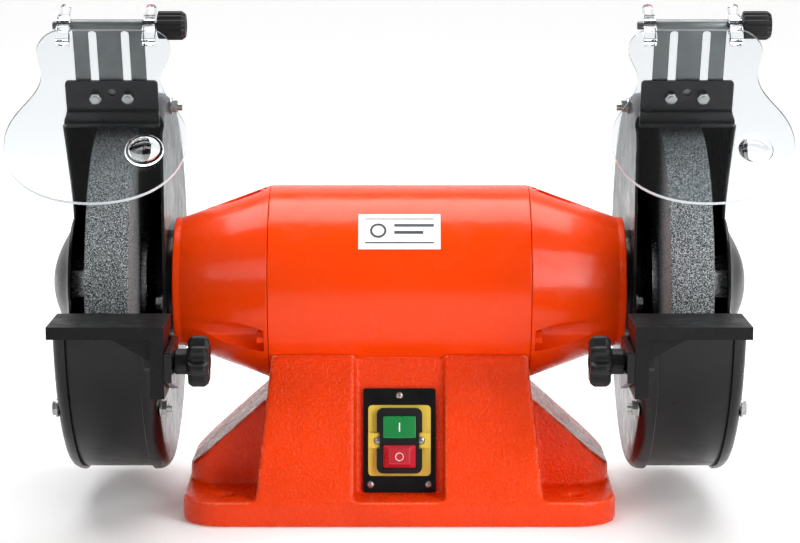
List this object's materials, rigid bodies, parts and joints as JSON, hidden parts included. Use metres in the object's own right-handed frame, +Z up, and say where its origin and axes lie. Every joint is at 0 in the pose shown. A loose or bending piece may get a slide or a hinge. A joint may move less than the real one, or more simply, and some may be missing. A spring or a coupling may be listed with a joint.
{
  "type": "bench grinder",
  "caption": "Pedestal-base bench grinder: a motor with a grinding wheel at each end, sheet-steel guards, tool rests, spark guards, hinged eye shields and a push-button switch.",
  "frame": {"origin": "centre of the base's underside", "axes": "+X along the spindle, to the operator's right; +Y away from the operator; +Z up"},
  "size_m": [0.5578, 0.3505, 0.3892],
  "materials": {
    "orange_casting": "textured orange paint on cast iron",
    "orange_paint": "gloss orange paint with a light orange peel",
    "black_steel": "satin black powder coat on sheet steel",
    "black_casting": "satin black paint on cast iron",
    "black_plastic": "black moulded plastic",
    "yellow_plastic": "yellow moulded plastic",
    "green_plastic": "green moulded plastic",
    "red_plastic": "red moulded plastic",
    "grinding_stone": "coarse grey vitrified abrasive",
    "bright_steel": "turned steel",
    "zinc_steel": "zinc-plated steel",
    "aluminium_can": "drawn aluminium",
    "laminations": "stacked electrical steel",
    "copper_winding": "varnished copper wire",
    "clear_plastic": "clear polycarbonate"
  },
  "bodies": {
    "root": {"base_casting": "orange_casting", "base_cover": "zinc_steel", "capacitor": "aluminium_can", "cable_gland": "black_plastic", "switch_plate": "black_steel", "switch_frame": "yellow_plastic", "switch_housing": "black_plastic", "motor_shell": "orange_paint", "stator_core": "laminations", "stator_winding": "copper_winding", "end_bell_left": "orange_paint", "end_bell_right": "orange_paint", "bearing_left": "bright_steel", "bearing_right": "bright_steel", "guard_pan_left": "black_steel", "guard_pan_right": "black_steel", "guard_drum_left": "black_steel", "guard_drum_right": "black_steel", "guard_cover_left": "black_steel", "guard_cover_right": "black_steel", "cover_bolt_front_left": "zinc_steel", "cover_bolt_front_right": "zinc_steel", "cover_bolt_top_left": "zinc_steel", "cover_bolt_top_right": "zinc_steel", "cover_bolt_rear_left": "zinc_steel", "cover_bolt_rear_right": "zinc_steel", "rest_arm_left": "black_casting", "rest_arm_right": "black_casting", "spark_guard_left": "black_steel", "spark_guard_right": "black_steel", "spark_bolt_a_left": "zinc_steel", "spark_bolt_a_right": "zinc_steel", "spark_bolt_b_left": "zinc_steel", "spark_bolt_b_right": "zinc_steel"},
    "spindle": {"rotor_shaft": "bright_steel", "rotor_core": "laminations", "wheel_left": "grinding_stone", "inner_flange_left": "bright_steel", "outer_flange_left": "bright_steel", "spindle_nut_left": "bright_steel", "wheel_right": "grinding_stone", "inner_flange_right": "bright_steel", "outer_flange_right": "bright_steel", "spindle_nut_right": "bright_steel"},
    "start_button": {"start_button": "green_plastic"},
    "stop_button": {"stop_button": "red_plastic"},
    "rest_stud_left": {"rest_stud_left": "zinc_steel"},
    "tool_rest_left": {"tool_rest_left": "black_casting"},
    "rest_knob_left": {"rest_knob_left": "black_plastic"},
    "shield_slide_left": {"shield_slide_left": "zinc_steel", "shield_rod_left": "zinc_steel"},
    "shield_left": {"shield_left": "clear_plastic"},
    "shield_knob_left": {"shield_knob_left": "black_plastic"},
    "rest_stud_right": {"rest_stud_right": "zinc_steel"},
    "tool_rest_right": {"tool_rest_right": "black_casting"},
    "rest_knob_right": {"rest_knob_right": "black_plastic"},
    "shield_slide_right": {"shield_slide_right": "zinc_steel", "shield_rod_right": "zinc_steel"},
    "shield_right": {"shield_right": "clear_plastic"},
    "shield_knob_right": {"shield_knob_right": "black_plastic"}
  },
  "joints": [
    {"name": "spindle_spin", "type": "hinge", "parent": "root", "child": "spindle", "pos_m": [0, 0, 0.17], "axis": [1, 0, 0], "continuous": true},
    {"name": "start_button_press", "type": "slide", "parent": "root", "child": "start_button", "axis": [0, 0.9834, -0.1814], "range_m": [0, 0.003], "stiffness_N_per_m": 400},
    {"name": "stop_button_press", "type": "slide", "parent": "root", "child": "stop_button", "axis": [0, 0.9834, -0.1814], "range_m": [0, 0.003], "stiffness_N_per_m": 400},
    {"name": "rest_slide_left", "type": "slide", "parent": "root", "child": "rest_stud_left", "axis": [0, 1, 0], "range_m": [-0.015, 0.002]},
    {"name": "rest_tilt_left", "type": "hinge", "parent": "rest_stud_left", "child": "tool_rest_left", "pos_m": [-0.17, -0.166, 0.137], "axis": [1, 0, 0], "range_deg": [-4, 30]},
    {"name": "rest_knob_turn_left", "type": "hinge", "parent": "rest_stud_left", "child": "rest_knob_left", "pos_m": [-0.147, -0.166, 0.137], "axis": [1, 0, 0], "range_deg": [0, 360]},
    {"name": "shield_height_left", "type": "slide", "parent": "root", "child": "shield_slide_left", "axis": [0, -0.3746, 0.9272], "range_m": [-0.02, 0.0035]},
    {"name": "shield_tilt_left", "type": "hinge", "parent": "shield_slide_left", "child": "shield_left", "pos_m": [-0.2144, -0.08742, 0.37304], "axis": [1, 0, 0], "range_deg": [-75, 25]},
    {"name": "shield_knob_turn_left", "type": "hinge", "parent": "shield_slide_left", "child": "shield_knob_left", "pos_m": [-0.1669, -0.08742, 0.37304], "axis": [1, 0, 0], "range_deg": [0, 360]},
    {"name": "rest_slide_right", "type": "slide", "parent": "root", "child": "rest_stud_right", "axis": [0, 1, 0], "range_m": [-0.015, 0.002]},
    {"name": "rest_tilt_right", "type": "hinge", "parent": "rest_stud_right", "child": "tool_rest_right", "pos_m": [0.17, -0.166, 0.137], "axis": [1, 0, 0], "range_deg": [-4, 30]},
    {"name": "rest_knob_turn_right", "type": "hinge", "parent": "rest_stud_right", "child": "rest_knob_right", "pos_m": [0.147, -0.166, 0.137], "axis": [1, 0, 0], "range_deg": [0, 360]},
    {"name": "shield_height_right", "type": "slide", "parent": "root", "child": "shield_slide_right", "axis": [0, -0.3746, 0.9272], "range_m": [-0.02, 0.0035]},
    {"name": "shield_tilt_right", "type": "hinge", "parent": "shield_slide_right", "child": "shield_right", "pos_m": [0.2144, -0.08742, 0.37304], "axis": [1, 0, 0], "range_deg": [-75, 25]},
    {"name": "shield_knob_turn_right", "type": "hinge", "parent": "shield_slide_right", "child": "shield_knob_right", "pos_m": [0.2619, -0.08742, 0.37304], "axis": [1, 0, 0], "range_deg": [0, 360]}
  ]
}
